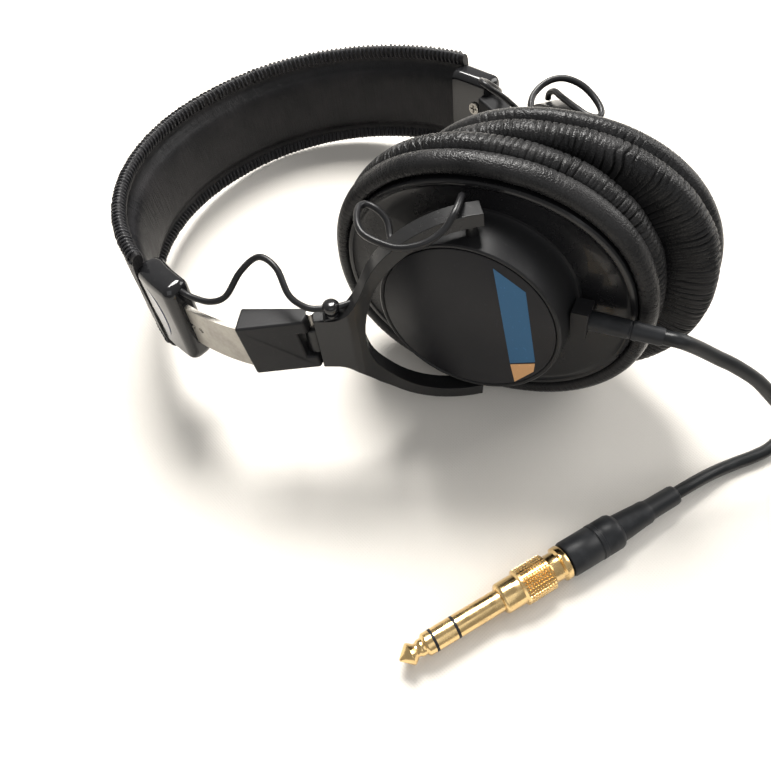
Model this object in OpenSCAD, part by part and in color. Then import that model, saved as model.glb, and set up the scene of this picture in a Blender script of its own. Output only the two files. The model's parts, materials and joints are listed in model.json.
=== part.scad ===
// Folding closed-back studio headphones lying on the edge of the headband, with a straight cord,
// a small jack plug and a large push-on adapter. Millimetres, +Z up, resting on Z = 0.

/* [Headband] */
// Outer radius of the band's arc
band_r = 70.75; // [66:0.25:74]
// Thickness of the padded band
band_t = 6.5; // [6:0.1:7]
// Width of the band
band_w = 37; // [32:0.5:40]
// Half of the arc that the padded cover takes, in degrees
band_half = 82.6; // [80:0.2:84]
// How far the right half springs outwards at rest, in degrees
right_splay = 3; // [0:0.5:4]

/* [Arms] */
// Radius of the middle of the curved steel arm
arm_r = 65.6; // [65:0.1:66]
// Thickness of the steel arm
arm_t = 1.4; // [1:0.1:1.6]
// Width of the steel arm
arm_w = 14; // [10:0.5:16]
// How far the left arm is pulled out, in degrees of its arc
left_out = 18; // [0:1:18]
// How far the right arm is pulled out, in degrees of its arc
right_out = 0; // [0:1:18]

/* [Yokes] */
// Distance from the fold pin to the cup's pivot
yoke_reach = 44; // [42:0.5:46]
// Inside radius of the yoke's half ring
ring_in = 30.3; // [30:0.1:31]
// Outside radius of the yoke's half ring
ring_out = 34.2; // [33.5:0.1:35]
// Tilt of the left cup in its yoke at rest, in degrees
left_tilt = 32.2; // [31:0.1:33]
// Tilt of the right cup in its yoke at rest, in degrees
right_tilt = 51; // [50:0.1:52]

/* [Ear cups] */
// Radius of the name disc on the back of a cup
disc_r = 24.8; // [22:0.1:25]
// Half length of the oval flange
flange_a = 42.4; // [42:0.1:43]
// Half height of the oval flange
flange_b = 35.9; // [35:0.1:37]
// Half length of the ear pad
pad_a = 47.4; // [46:0.1:49]
// Half height of the ear pad
pad_b = 42.1; // [41:0.1:43]
// Depth of a cup from its pivot to the face of its pad
pad_face = 22.6; // [21:0.1:24]

/* [Cord] */
// Diameter of the cord
cord_d = 4; // [3.5:0.1:4.5]
// Turns that lie side by side in each layer of the coil
coil_turns = 4.5; // [3.5:0.5:5]
// Layers of the coil
coil_layers = 4; // [3:1:5]
// Diameter of the thin wires that link the band, the yokes and the cups
wire_d = 1.8; // [1.4:0.1:2]

/* [Plug] */
// Radius of the large plug that the adapter carries
large_plug_r = 3.175; // [3.15:0.005:3.2]
// Radius of the small plug's pin
small_plug_r = 1.75; // [1.7:0.01:1.75]
// Radius of the plug's moulded body
plug_body_r = 5.2; // [5:0.1:5.6]

/* [Hidden] */

$fn = 96;
gap = 0.3;

// The arc's centre is the origin of the working frame: x runs from the crown to the cups,
// z across the band, and the left side has negative y. The whole object then lies down.
lie_tilt = 10.26;
lie_roll = -3.5;
seat = [-18.25, -1.56, 32.73];

band_in = band_r - band_t;
flex_at = 40;          // where each half of the band bends, degrees from the crown
cap_from = band_half;
cap_to = 96.1;
cap_in = 61.6;
cap_out = 69.8;
cap_w = 28.5;
spring_r = 68.4;
spring_t = 0.8;
spring_w = 24;
arm_tail = 64;         // where the arm starts when pushed in, degrees from the crown
arm_end = 99.5;        // where the arm enters its block when pushed in

pin_at = 112.35;       // where the fold pin stands when the arm is pushed in
pin_r = 58.72;         // its distance from the arc's centre
block_turn = 23;       // the block's direction when the arm is pushed in
block_l = 16.5;
block_in = 1.9;
block_out = 3.8;
block_cover = 2.4;        // extra thickness outside the arm's end
block_w = 18;
stem_bend = 13;        // the ring leans in by this much from its stem
fold_pin_r = 1.05;
knuckle_r = 2.6;
tongue_w = 8.4;
wire_z = 11.6;         // height of the link wire where it leaves the end cap
clip_at = [6, -2.6];   // the wire clip on the yoke's stem, from the fold pin

out = [left_out, right_out];
fold = [0, -3.8];
tilt = [left_tilt, right_tilt];
splay = [0, right_splay];

disc_y = -4.9;         // back face of a cup, from its pivot
drum_y = 8.5;          // where the drum meets the flange
flange_t = 3.5;
baffle_y = drum_y + flange_t;
baffle_t = 1.8;
pivot_r = 1.5;

// Routes of the thin wires: band to yoke in the half band's frame, yoke to cup in the yoke's.
arm_wire_route = [
  [[3, -64.4, 11.6], [7.5, -64.4, 11.6], [11.5, -63.2, 11], [15.7, -61, 10.8], [18.3, -57.4, 12],
   [19, -51.6, 17], [21.3, -46.3, 20], [27.5, -45.3, 19], [34.5, -47.5, 15], [39.5, -46, 12.6],
   [42.5, -43, 12], [43.7, -41.4, 12], [45.3, -39.2, 12], [46.4, -36.2, 11.8]],
  [[3, -64.4, 11.6], [7.5, -64.4, 11.6], [11, -63, 12.2], [12.8, -59, 15.5], [12, -54, 20],
   [14, -49, 23], [18, -48, 22.5], [21, -51.6, 18.5], [22.6, -55, 14.5], [25, -55.8, 12.4],
   [27.1, -54.4, 12], [28.8, -53.3, 12], [30.6, -52.2, 12], [32.5, -50, 11.8]]];
cup_wire_route = [
  [[-19.9, 3.05, 25.7], [-20, 5, 26.2], [-20.1, 8.4, 28], [-21.9, 10.9, 30], [-24.7, 12.8, 31],
   [-26.8, 11, 31.5], [-27.7, 5.4, 31.5], [-26.7, 1, 31], [-23, -2.9, 30.5], [-18.6, -5.9, 30.5],
   [-12.7, -6.8, 31.5], [-8, -5.6, 33.4], [-4.8, -3, 35.8], [-2.2, 2.1, 36], [-1.1, 6.6, 33.4],
   [0.2, 8.7, 32.2], [1.7, 11.1, 32.2]],
  [[-17, -0.55, 30.45], [-16.5, -0.6, 32.4], [-13.5, -0.8, 34.4], [-8.8, -1, 34.9], [-1.8, -1.8, 35.35],
   [3.2, -3, 35.35], [4.6, -5.4, 35], [2.5, -7.2, 35.4], [-2.1, -7, 37], [-6.6, -4.8, 39],
   [-9.9, -0.9, 40], [-11, 3.4, 39], [-8.5, 7.9, 37.5], [-4.4, 9.8, 35.5], [-2.1, 8, 33.8],
   [0.6, 6.6, 32.4], [3, 8.2, 32.2], [5.2, 10, 32.2]]];

// The cord falls from its boot to the surface, winds into the coil, and comes back to the plug.
coil_at = [165, 75];
coil_mid = 24;
coil_in = coil_mid - (coil_turns + 1) * cord_d / 2 - 0.1;
coil_out = coil_mid + (coil_turns + 1) * cord_d / 2 + 0.1;
coil_h = coil_layers * cord_d;
boot_l = 18.8;
plug_tip = [90.6, -85.4];
plug_turn = 75;
plug_l = 93.9;
cord_route = [
  [88.7, 11.2, 54.4], [92.4, 12.7, 55], [96.4, 16.9, 51.4], [100.8, 21, 47.4], [105.2, 24.7, 44],
  [111.3, 29.3, 38.6], [116.7, 33.2, 32], [121.8, 36.9, 25.2], [126.6, 40.6, 18], [131.2, 43.9, 11.3],
  [135.6, 46.9, 6.4], [140.3, 48.6, 3.2], [145.6, 47.6, 2]];
plug_way = [cos(plug_turn), sin(plug_turn)];
plug_cord_route = concat(
  [for (x = [plug_l, plug_l + 4]) concat(plug_tip + x * plug_way, plug_body_r)],
  [[117.6, 15.4, 4.2], [119.6, 22, 2.7], [122.2, 28.6, 2], [124.8, 34.4, 2], [126.8, 40.4, 2],
   [127.6, 49, 3], [127.8, 58, 6.5], [128.6, 69, 11.5], [131, 79.5, 13.9]]);

function sgnpow(v, e) = sign(v) * pow(abs(v), e);
function oval(a, b, n = 2.15, k = 64) =
  [for (j = [0 : k - 1]) let (w = 360 * j / k) [a * sgnpow(cos(w), 2 / n), b * sgnpow(sin(w), 2 / n)]];
function on_arc(r, w) = [-r * cos(w), -r * sin(w)];

// A tube swept along a route: each ring stands square to the route, carried on without a twist.
function unit(v) = v / norm(v);
function heading(p, i) = unit(p[min(i + 1, len(p) - 1)] - p[max(i - 1, 0)]);
function carried(p, n, i = 0, rings = []) =
  i == len(p) ? rings :
  let (t = heading(p, i), m = unit(n - (n * t) * t))
  carried(p, m, i + 1, concat(rings, [[m, cross(t, m)]]));
module tube(p, d, sides = 8) {
  rings = carried(p, cross(heading(p, 0), [0.1, 0.2, 1]));
  last = (len(p) - 1) * sides;
  polyhedron(
    [for (i = [0 : len(p) - 1], j = [0 : sides - 1]) let (w = 360 * j / sides)
      p[i] + d / 2 * (cos(w) * rings[i][0] + sin(w) * rings[i][1])],
    concat([[for (j = [0 : sides - 1]) j]], [[for (j = [sides - 1 : -1 : 0]) last + j]],
      [for (i = [0 : len(p) - 2], j = [0 : sides - 1])
        let (k = (j + 1) % sides, a = i * sides, b = a + sides) [a + j, b + j, b + k, a + k]]));
}

// Frames, each inside the one before it. side 0 is the left, side 1 the right.
module lying() translate(seat) rotate([lie_roll, -lie_tilt, 0]) children();
module half_band(side)
  if (side == 1)
    mirror([0, 1, 0]) translate([-band_r, 0, 0]) rotate([0, 0, -splay[1]])
      translate([band_r, 0, 0]) children();
  else
    children();
module arm_frame(side) lying() half_band(side) rotate([0, 0, out[side]]) children();
module block_frame(side)
  arm_frame(side) translate(concat(on_arc(pin_r, pin_at), 0)) rotate([0, 0, block_turn]) children();
module yoke_frame(side)
  block_frame(side) rotate([0, 0, stem_bend + fold[side]]) translate([yoke_reach, 0, 0]) children();
module cup_frame(side) yoke_frame(side) rotate([0, 0, -tilt[side]]) children();

// A shape drawn on XY and raised along Z is turned to face the ear, starting at depth y.
module facing_ear(y) translate([0, y, 0]) rotate([-90, 0, 0]) children();
module plate(y, t, a, b, n = 2.15) facing_ear(y) linear_extrude(t) polygon(oval(a, b, n));
module round(y, t, r) facing_ear(y) cylinder(h = t, r = r);

// Part of a ring round the arc's centre, between two angles from the crown.
module arc_piece(r0, r1, w, from, to, edge = 0)
  rotate([0, 0, 180 + from]) rotate_extrude(angle = to - from, $fn = 180)
    translate([r0, -w / 2]) rounded_rect(r1 - r0, w, edge);
module rounded_rect(x, y, r)
  if (r > 0) {
    translate([r, 0]) square([x - 2 * r, y]);
    translate([0, r]) square([x, y - 2 * r]);
    for (px = [r, x - r], py = [r, y - r]) translate([px, py]) circle(r, $fn = 32);
  } else square([x, y]);

module cover(side, from, to)
  color("#1c1c1e") lying() half_band(side) difference() {
    arc_piece(band_in, band_r, band_w, from, to, 2.4);
    arc_piece(spring_r - spring_t / 2 - 0.1, spring_r + spring_t / 2 + 0.1, spring_w + 0.4,
      from - 1, to + 1);
    if (to > arm_tail)
      arc_piece(arm_r - arm_t / 2 - 0.2, arm_r + arm_t / 2 + 0.2, arm_w + 1, arm_tail - 2, to + 1);
  }
module spring(side, from, to)
  color("#8e9094") lying() half_band(side)
    arc_piece(spring_r - spring_t / 2, spring_r + spring_t / 2, spring_w, from, to);

module end_cap(side)
  color("#101012") lying() half_band(side) difference() {
    arc_piece(cap_in, cap_out, cap_w, cap_from + 0.1, cap_to, 2.6);
    arc_piece(arm_r - arm_t / 2 - 0.2, arm_r + arm_t / 2 + 0.2, arm_w + 0.6, cap_from - 1, cap_to + 1);
    arc_piece(cap_in - 1, cap_in + 1.2, cap_w - 5, cap_from - 1, cap_to - 2.4);
    cap_screw_place() cylinder(h = 9, r = 1.1, center = true, $fn = 32);
    translate([1.2, -64.4, wire_z]) rotate([0, 90, 0]) cylinder(h = 14, r = 1.25, center = true, $fn = 24);
  }
module cap_plate(side)
  color("#2a2a2c") lying() half_band(side) difference() {
    arc_piece(cap_in + 0.1, cap_in + 1.2, cap_w - 5.4, cap_from + 0.4, cap_to - 2.6);
    cap_screw_place() cylinder(h = 9, r = 1.1, center = true, $fn = 32);
  }
module cap_screw_place()
  rotate([0, 0, 180 + 91.2]) translate([cap_in + 1, 0, 3.6]) rotate([0, 90, 0]) children();
module cap_screw(side)
  color("#a8a6a0") lying() half_band(side) difference() {
    cap_screw_place() {
      translate([0, 0, -1.9]) cylinder(h = 0.92, r = 2.1, $fn = 40);
      translate([0, 0, -1]) cylinder(h = 3, r = 1.1, $fn = 32);
    }
    cap_screw_place() for (w = [0, 90]) rotate([0, 0, w])
      translate([-1.4, -0.3, -2.2]) cube([2.8, 0.6, 0.8]);
  }

module arm(side)
  color("#b9b5ab") arm_frame(side) difference() {
    arc_piece(arm_r - arm_t / 2, arm_r + arm_t / 2, arm_w, arm_tail, arm_end - 0.1);
    for (j = [0 : 5]) rotate([0, 0, 180 + arm_tail + 3 + 3 * j]) translate([arm_r, 0, 0])
      rotate([0, 90, 0]) cylinder(h = 4, r = 0.9, center = true, $fn = 24);
  }

module block_outline()
  polygon([[-block_l, -block_out - block_cover], [-0.6, -block_out], [0, 0], [0, block_in], [-block_l, block_in]]);
module hinge_block(side)
  color("#1b1b1d") difference() {
    block_frame(side) difference() {
      union() {
        translate([0, 0, -block_w / 2]) linear_extrude(block_w) block_outline();
        cylinder(h = block_w, r = block_in, center = true);
      }
      cylinder(h = tongue_w + 0.6, r = knuckle_r + gap, center = true);
      translate([0, 0, -tongue_w / 2 - gap]) cube([10, 10, tongue_w + 2 * gap]);
      cylinder(h = block_w + 2, r = fold_pin_r, center = true);
    }
    arm_frame(side)
      arc_piece(arm_r - arm_t / 2, arm_r + arm_t / 2, arm_w, arm_end - 8, arm_end - 0.1);
  }
module fold_pin(side)
  color("#9a9a9c") block_frame(side) cylinder(h = block_w, r = fold_pin_r, center = true);

module yoke(side)
  color("#161618") yoke_frame(side) difference() {
    union() {
      facing_ear(-2.75) rotate_extrude(angle = 180, start = 90, $fn = 120)
        translate([ring_in, 0]) square([ring_out - ring_in, 5.5]);
      for (s = [-1, 1]) translate([0, 0, s * (ring_in + ring_out) / 2])
        cylinder(h = ring_out - ring_in, r = 2.75, center = true, $fn = 48);
      translate([-yoke_reach, 0, 0]) rotate([0, 0, -stem_bend]) {
        translate([3.1, -block_out, -block_w / 2]) cube([9.5, block_out + block_in, block_w]);
        translate([0.6, -block_out, -block_w / 2]) cube([3, 1.7, block_w]);
        translate([0, -1.2, -tongue_w / 2]) cube([3.6, 2.4, tongue_w]);
        cylinder(h = tongue_w, r = knuckle_r, center = true);
      }
    }
    translate([0, 0, -1]) cylinder(h = 90, r = pivot_r + 0.06, center = true, $fn = 64);
    translate([-yoke_reach, 0, 0]) cylinder(h = 30, r = fold_pin_r + 0.06, center = true);
    facing_ear(-6) cylinder(h = 12, r = ring_in - 0.01, $fn = 120);
    translate([-yoke_reach, 0, 0]) rotate([0, 0, -stem_bend]) for (s = [-1, 1])
      translate([0, 0, s * (tongue_w / 2 + 0.3 + 5)]) cylinder(h = 10, r = block_in + 0.5, center = true);
  }
module wire_clip(side)
  color("#0e0e10") yoke_frame(side)
    translate([-yoke_reach + clip_at[0], clip_at[1], block_w / 2 + 0.1]) difference() {
    union() {
      cylinder(h = 1.2, r = 2.2, $fn = 40);
      translate([0, 0, 1.2]) cylinder(h = 3.6, r = 1.9, $fn = 40);
    }
    translate([0, 0, 2.9]) rotate([0, 90, 0]) cylinder(h = 8, r = 1.1, center = true, $fn = 24);
  }

module cup_pivots(side)
  color("#8c8c8e") cup_frame(side) for (s = [-1, 1])
    translate([0, 0, s * (23.4 + 5.2)]) cylinder(h = 10.4, r = pivot_r, center = true, $fn = 64);

module ear_housing(side)
  color("#18181a") cup_frame(side) difference() {
    union() {
      facing_ear(disc_y) cylinder(h = drum_y - disc_y, r1 = 26, r2 = 27.2, $fn = 120);
      plate(drum_y, flange_t, flange_a, flange_b);
      difference() {
        plate(drum_y - 0.8, 0.81, flange_a, flange_b);
        plate(drum_y - 1, 2, flange_a - 1.3, flange_b - 1.3);
      }
    }
    round(disc_y - 1, 2.2, disc_r + 0.1);
    round(disc_y + 2.8, 20, 24.2);
    cylinder(h = 70, r = pivot_r, center = true, $fn = 64);
    translate([26.2, 3.4, 3]) rotate([0, 90, 0]) cylinder(h = 12, r = 2.5, center = true, $fn = 48);
    translate([-4.5, drum_y, 32.2]) rotate([90, 0, 0]) cylinder(h = 12, r = 1.3, center = true, $fn = 32);
  }
module name_disc(side)
  color("#202024") cup_frame(side) round(disc_y, 1.2, disc_r);
module baffle(side)
  color("#242426") cup_frame(side) difference() {
    plate(baffle_y, baffle_t, 38, 31.6);
    round(baffle_y - 1, 4, 20.1);
    for (w = [45 : 90 : 315]) rotate([0, w, 0]) translate([26, 0, 0])
      facing_ear(baffle_y - 1) cylinder(h = 4, r = 1.6, $fn = 24);
  }
module driver_ring(side)
  color("#3a3a3c") cup_frame(side) facing_ear(9.4) rotate_extrude()
    polygon([[16.5, 0], [20, 0], [20, 4.4], [18.6, 4.4], [18.6, 1.6], [16.5, 1.6]]);
module driver_magnet(side)
  color("#77777a") cup_frame(side) difference() {
    union() {
      round(3.2, 5.8, 12);
      round(9, 0.4, 16.5);
    }
    round(2, 8, 3);
  }
module diaphragm(side)
  color("#c9c4b4") cup_frame(side) facing_ear(11.05) rotate_extrude()
    polygon([[0, 1.6], [4, 1.4], [8, 0.6], [10, 0], [18.5, 0],
      [18.5, 0.25], [10.1, 0.25], [8, 0.9], [4, 1.7], [0, 1.9]]);
module damping_foam(side)
  color("#151515") cup_frame(side) plate(baffle_y + baffle_t + 0.1, 1.8, 26.2, 19.8);
module ear_pad(side)
  color("#1a1a1c") cup_frame(side) difference() {
    union() {
      plate(9, 5, 45.6, 39.6);
      plate(13.2, 1.6, 46.6, 41.2);
      plate(14.6, 6.4, pad_a, pad_b);
      plate(20.8, pad_face - 20.8, pad_a - 1.6, pad_b - 1.6);
    }
    plate(8, baffle_y - 8, flange_a + 0.1, flange_b + 0.1);
    plate(11, baffle_y + baffle_t - 11, 38.05, 31.65);
    plate(8, 20, 26.8, 20.4, 2);
  }

module arm_wire(side)
  color("#121214") lying() half_band(side) tube(arm_wire_route[side], wire_d);
module cup_wire(side)
  color("#121214") yoke_frame(side) tube(cup_wire_route[side], wire_d);

module cord_boss()
  color("#1d1d1f") cup_frame(0) translate([0, 3.4, 3]) difference() {
    union() {
      translate([26.6, -3.1, -4.2]) cube([4.6, 6.2, 8.4]);
      translate([22, 0, 0]) rotate([0, 90, 0]) cylinder(h = 5, r = 2.5, $fn = 48);
    }
    rotate([0, 90, 0]) cylinder(h = 80, r = cord_d / 2, $fn = 48);
    facing_ear(-20) translate([0, 3, 0]) cylinder(h = 40, r1 = 26.5, r2 = 27.5, $fn = 120);
  }

module cord_boot()
  color("#161618") cup_frame(0) translate([31.2, 3.4, 3]) rotate([0, 90, 0]) difference() {
    cylinder(h = boot_l, r1 = 3.1, r2 = 2.6, $fn = 48);
    for (j = [0 : 5]) translate([0, 0, 6 + 2 * j])
      rotate_extrude($fn = 48) translate([2.5, 0]) square([1, 0.8]);
  }
module cord()
  color("#141416") tube(cord_route, cord_d);
module cord_coil()
  color("#141416") translate(concat(coil_at, 0)) rotate_extrude($fn = 120)
    translate([coil_in, 0]) square([coil_out - coil_in, coil_h]);
module coil_tie()
  color("#2c2c30") translate(concat(coil_at, 0)) rotate([0, 0, -35]) difference() {
    translate([coil_in - 2, -4, 0]) cube([coil_out - coil_in + 3.3, 8, coil_h + 1.3]);
    translate([coil_in - 1, -5, -1]) cube([coil_out - coil_in + 1.2, 10, coil_h + 1.1]);
  }
module plug_cord()
  color("#141416") tube(plug_cord_route, cord_d);

// The plug lies on the surface, with its axis from the large tip to the cord.
module plug_frame()
  translate(concat(plug_tip, plug_body_r)) rotate([0, 0, plug_turn]) rotate([0, 90, 0]) children();
module turned(points) rotate_extrude($fn = 96) polygon(points);
module plug_boot()
  color("#151517") plug_frame() difference() {
    translate([0, 0, 72]) cylinder(h = plug_l - 72, r1 = 4.2, r2 = 2.6, $fn = 64);
    for (j = [0 : 4]) translate([0, 0, 80 + 2.5 * j]) turned([[2.55, 0], [5, 0], [5, 1], [2.55, 1]]);
  }
module plug_body()
  color("#151517") plug_frame() turned([[0, 53.7], [4.6, 53.7], [5.2, 54.5], [5.2, 60], [4.7, 60.5],
    [5.2, 61], [5.2, 66.5], [4.7, 67], [5.2, 67.5], [5.2, 71], [4.2, 72], [0, 72]]);
module small_plug()
  color("#d8b25a") plug_frame() turned([[0, 39.6], [0.8, 39.6], [small_plug_r, 41], [small_plug_r, 50.1],
    [2.9, 50.1], [2.9, 53.7], [0, 53.7]]);
module adapter_sleeve()
  color("#d8b25a") plug_frame() difference() {
    turned([[0, 17.6], [large_plug_r, 17.6], [large_plug_r, 31.75], [4.4, 32.2], [4.4, 34.6], [5, 35.2],
      [5, 37.4], [4.6, 38], [5.1, 38.4], [5.1, 49.2], [4.6, 49.6], [5, 50], [5, 53.4], [0, 53.4]]);
    translate([0, 0, 39]) cylinder(h = 20, r = small_plug_r + 0.06, $fn = 64);
    translate([0, 0, 49.8]) cylinder(h = 20, r = 2.96, $fn = 64);
    for (j = [0 : 29]) rotate([0, 0, 12 * j]) translate([5.15, 0, 39])
      cylinder(h = 9.6, r = 0.25, $fn = 16);
  }
module adapter_insulators()
  color("#1a1a1a") plug_frame() for (at = [10, 16.8]) translate([0, 0, at])
    cylinder(h = 0.8, r = large_plug_r);
module adapter_ring()
  color("#d8b25a") plug_frame() translate([0, 0, 10.8]) cylinder(h = 6, r = large_plug_r);
module adapter_tip()
  color("#d8b25a") plug_frame() turned([[0, 0], [0.7, 0.1], [1.3, 0.5], [3.1, 3], [large_plug_r, 3.6],
    [3.1, 4.2], [2.35, 5.6], [2.35, 6.4], [large_plug_r, 8], [large_plug_r, 10], [0, 10]]);

cover(0, flex_at + 0.15, band_half);  // cover_left
cover(0, 0.15, flex_at - 0.15);  // cover_crown_left
cover(1, 0.15, flex_at - 0.15);  // cover_crown_right
cover(1, flex_at + 0.15, band_half);  // cover_right
spring(0, flex_at + 0.15, band_half - 3);  // spring_left
spring(0, 0.15, flex_at - 0.15);  // spring_crown_left
spring(1, 0.15, flex_at - 0.15);  // spring_crown_right
spring(1, flex_at + 0.15, band_half - 3);  // spring_right
end_cap(0);  // end_cap_left
end_cap(1);  // end_cap_right
cap_plate(0);  // cap_plate_left
cap_plate(1);  // cap_plate_right
cap_screw(0);  // cap_screw_left
cap_screw(1);  // cap_screw_right
arm(0);  // arm_left
arm(1);  // arm_right
hinge_block(0);  // hinge_block_left
hinge_block(1);  // hinge_block_right
fold_pin(0);  // fold_pin_left
fold_pin(1);  // fold_pin_right
yoke(0);  // yoke_left
yoke(1);  // yoke_right
wire_clip(0);  // wire_clip_left
wire_clip(1);  // wire_clip_right
cup_pivots(0);  // cup_pivots_left
cup_pivots(1);  // cup_pivots_right
ear_housing(0);  // ear_housing_left
ear_housing(1);  // ear_housing_right
name_disc(0);  // name_disc_left
name_disc(1);  // name_disc_right
baffle(0);  // baffle_left
baffle(1);  // baffle_right
driver_ring(0);  // driver_ring_left
driver_ring(1);  // driver_ring_right
driver_magnet(0);  // driver_magnet_left
driver_magnet(1);  // driver_magnet_right
diaphragm(0);  // diaphragm_left
diaphragm(1);  // diaphragm_right
damping_foam(0);  // damping_foam_left
damping_foam(1);  // damping_foam_right
ear_pad(0);  // ear_pad_left
ear_pad(1);  // ear_pad_right
arm_wire(0);  // arm_wire_left
arm_wire(1);  // arm_wire_right
cup_wire(0);  // cup_wire_left
cup_wire(1);  // cup_wire_right
cord_boss();
cord_boot();
cord();
cord_coil();
coil_tie();
plug_cord();
plug_boot();
plug_body();
small_plug();
adapter_sleeve();
adapter_insulators();
adapter_ring();
adapter_tip();
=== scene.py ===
"""Folding studio headphones: shells, leather, pads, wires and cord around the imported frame."""
import json
import math

import bmesh
import bpy
from mathutils import Matrix, Vector, noise


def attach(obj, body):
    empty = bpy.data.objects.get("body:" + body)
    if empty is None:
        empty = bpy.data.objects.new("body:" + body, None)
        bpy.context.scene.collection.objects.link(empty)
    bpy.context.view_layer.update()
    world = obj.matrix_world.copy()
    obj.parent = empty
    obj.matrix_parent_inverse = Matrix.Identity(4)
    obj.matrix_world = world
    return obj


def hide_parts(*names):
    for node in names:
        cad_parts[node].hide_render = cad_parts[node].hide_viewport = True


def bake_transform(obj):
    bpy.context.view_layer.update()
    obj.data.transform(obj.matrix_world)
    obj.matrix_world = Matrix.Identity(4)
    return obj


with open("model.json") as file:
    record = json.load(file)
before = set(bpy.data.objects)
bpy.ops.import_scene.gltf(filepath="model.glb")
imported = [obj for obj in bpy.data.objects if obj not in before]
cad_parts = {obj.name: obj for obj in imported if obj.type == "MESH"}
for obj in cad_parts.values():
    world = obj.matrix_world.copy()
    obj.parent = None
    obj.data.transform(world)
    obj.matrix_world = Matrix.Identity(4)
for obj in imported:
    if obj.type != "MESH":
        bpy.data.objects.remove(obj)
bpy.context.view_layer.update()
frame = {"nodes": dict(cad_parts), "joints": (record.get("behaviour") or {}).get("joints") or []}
nodes = frame["nodes"]
joints = {j["name"]: j for j in frame["joints"]}

MM = 0.001
SIDES = ("left", "right")
FOLD_BEND = {"left": 13.0, "right": 9.2}      # from the hinge block to the yoke, degrees
TILT = {"left": 32.2, "right": 51.0}          # from the yoke to the cup, degrees
BAND_R = 70.75
BAND_HALF = 82.6
SEAM_AT = 20.0                                # where the cover's lengths meet, degrees from the crown
FLEX_AT = 40.0
YOKE_REACH = 44.0
RING_IN, RING_OUT = 30.3, 34.2
DISC_Y = -4.9
FLANGE = (42.4, 35.9)
PAD = (47.4, 42.1)
PAD_HOLE = (26.8, 20.4)
PAD_FACE = 22.6
CORD_D = 4.0
WIRE_D = 1.8


# ---- Places: each one turns local millimetres into the row frame ----

up = Vector(joints["left_tilt"]["axis"]).normalized()


def pin(name):
    return Vector(joints[name]["pos_m"])


def place(origin, toward, flip=1):
    """Local x runs toward, local z runs across the band, and flip=-1 mirrors the left side's parts."""
    x = (toward - up * toward.dot(up)).normalized()
    y = up.cross(x) * flip
    m = Matrix((x * MM, y * MM, up * MM)).transposed().to_4x4()
    m.translation = origin
    return m


def turned(m, degrees, at=(0, 0, 0)):
    return m @ Matrix.Translation(at) @ Matrix.Rotation(math.radians(degrees), 4, "Z")


crown = pin("band_spread")
half, yoke_at, block_at, cup_at = {}, {}, {}, {}
for side, flip in (("left", 1), ("right", -1)):
    centre = pin(side + "_adjust")
    pivot, knuckle = pin(side + "_tilt"), pin(side + "_fold")
    half[side] = place(centre, centre - crown, flip)
    yoke_at[side] = place(pivot, pivot - knuckle, flip)
    block_at[side] = turned(yoke_at[side], -FOLD_BEND[side], (-YOKE_REACH, 0, 0))
    cup_at[side] = turned(yoke_at[side], -TILT[side])


# ---- Materials ----

class Value:
    """A socket's value, so that shader sums read as sums."""

    def __init__(self, shade, socket):
        self.shade, self.socket = shade, socket

    def sum(self, operation, other, swap=False):
        a, b = (other, self) if swap else (self, other)
        return self.shade.node("ShaderNodeMath", {"operation": operation}, {0: a, 1: b})

    def __add__(self, other): return self.sum("ADD", other)
    def __radd__(self, other): return self.sum("ADD", other)
    def __sub__(self, other): return self.sum("SUBTRACT", other)
    def __rsub__(self, other): return self.sum("SUBTRACT", other, True)
    def __mul__(self, other): return self.sum("MULTIPLY", other)
    def __rmul__(self, other): return self.sum("MULTIPLY", other)


class Shade:
    """One material: a Principled shader and the nodes that feed it."""

    def __init__(self, name, **constants):
        self.material = bpy.data.materials.new(name)
        self.material.use_nodes = True
        self.tree = self.material.node_tree
        self.surface = self.tree.nodes["Principled BSDF"]
        for key, value in constants.items():
            self.surface.inputs[key.replace("_", " ")].default_value = value

    def node(self, kind, settings=None, sockets=None, out=0):
        n = self.tree.nodes.new(kind)
        for key, value in (settings or {}).items():
            setattr(n, key, value)
        for key, value in (sockets or {}).items():
            if isinstance(value, Value):
                self.tree.links.new(value.socket, n.inputs[key])
            else:
                n.inputs[key].default_value = value
        return Value(self, n.outputs[out])

    def feed(self, name, value):
        self.tree.links.new(value.socket, self.surface.inputs[name])

    def where(self, attribute=None):
        if attribute:
            return self.node("ShaderNodeAttribute", {"attribute_name": attribute}, out="Vector")
        return self.node("ShaderNodeTexCoord", out="Object")

    def stretched(self, where, scale):
        return self.node("ShaderNodeMapping", sockets={"Vector": where, "Scale": scale})

    def noise(self, where, scale, detail=3.0, roughness=0.55):
        return self.node("ShaderNodeTexNoise", sockets={"Vector": where, "Scale": scale, "Detail": detail,
                                                        "Roughness": roughness})

    def cells(self, where, scale, feature="DISTANCE_TO_EDGE"):
        return self.node("ShaderNodeTexVoronoi", {"feature": feature}, {"Vector": where, "Scale": scale})

    def levels(self, value, low, high, to_low=0.0, to_high=1.0):
        return self.node("ShaderNodeMapRange", {"interpolation_type": "SMOOTHSTEP"},
                         {"Value": value, "From Min": low, "From Max": high, "To Min": to_low, "To Max": to_high})

    def mix(self, factor, a, b):
        return self.node("ShaderNodeMix", {"data_type": "RGBA"}, {0: factor, 6: a, 7: b}, out=2)

    def bump(self, height, strength, depth_mm, over=None):
        sockets = {"Height": height, "Strength": strength, "Distance": depth_mm * MM}
        if over:
            sockets["Normal"] = over
        return self.node("ShaderNodeBump", sockets=sockets)


def rgb(r, g, b):
    return (r, g, b, 1.0)


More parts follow.
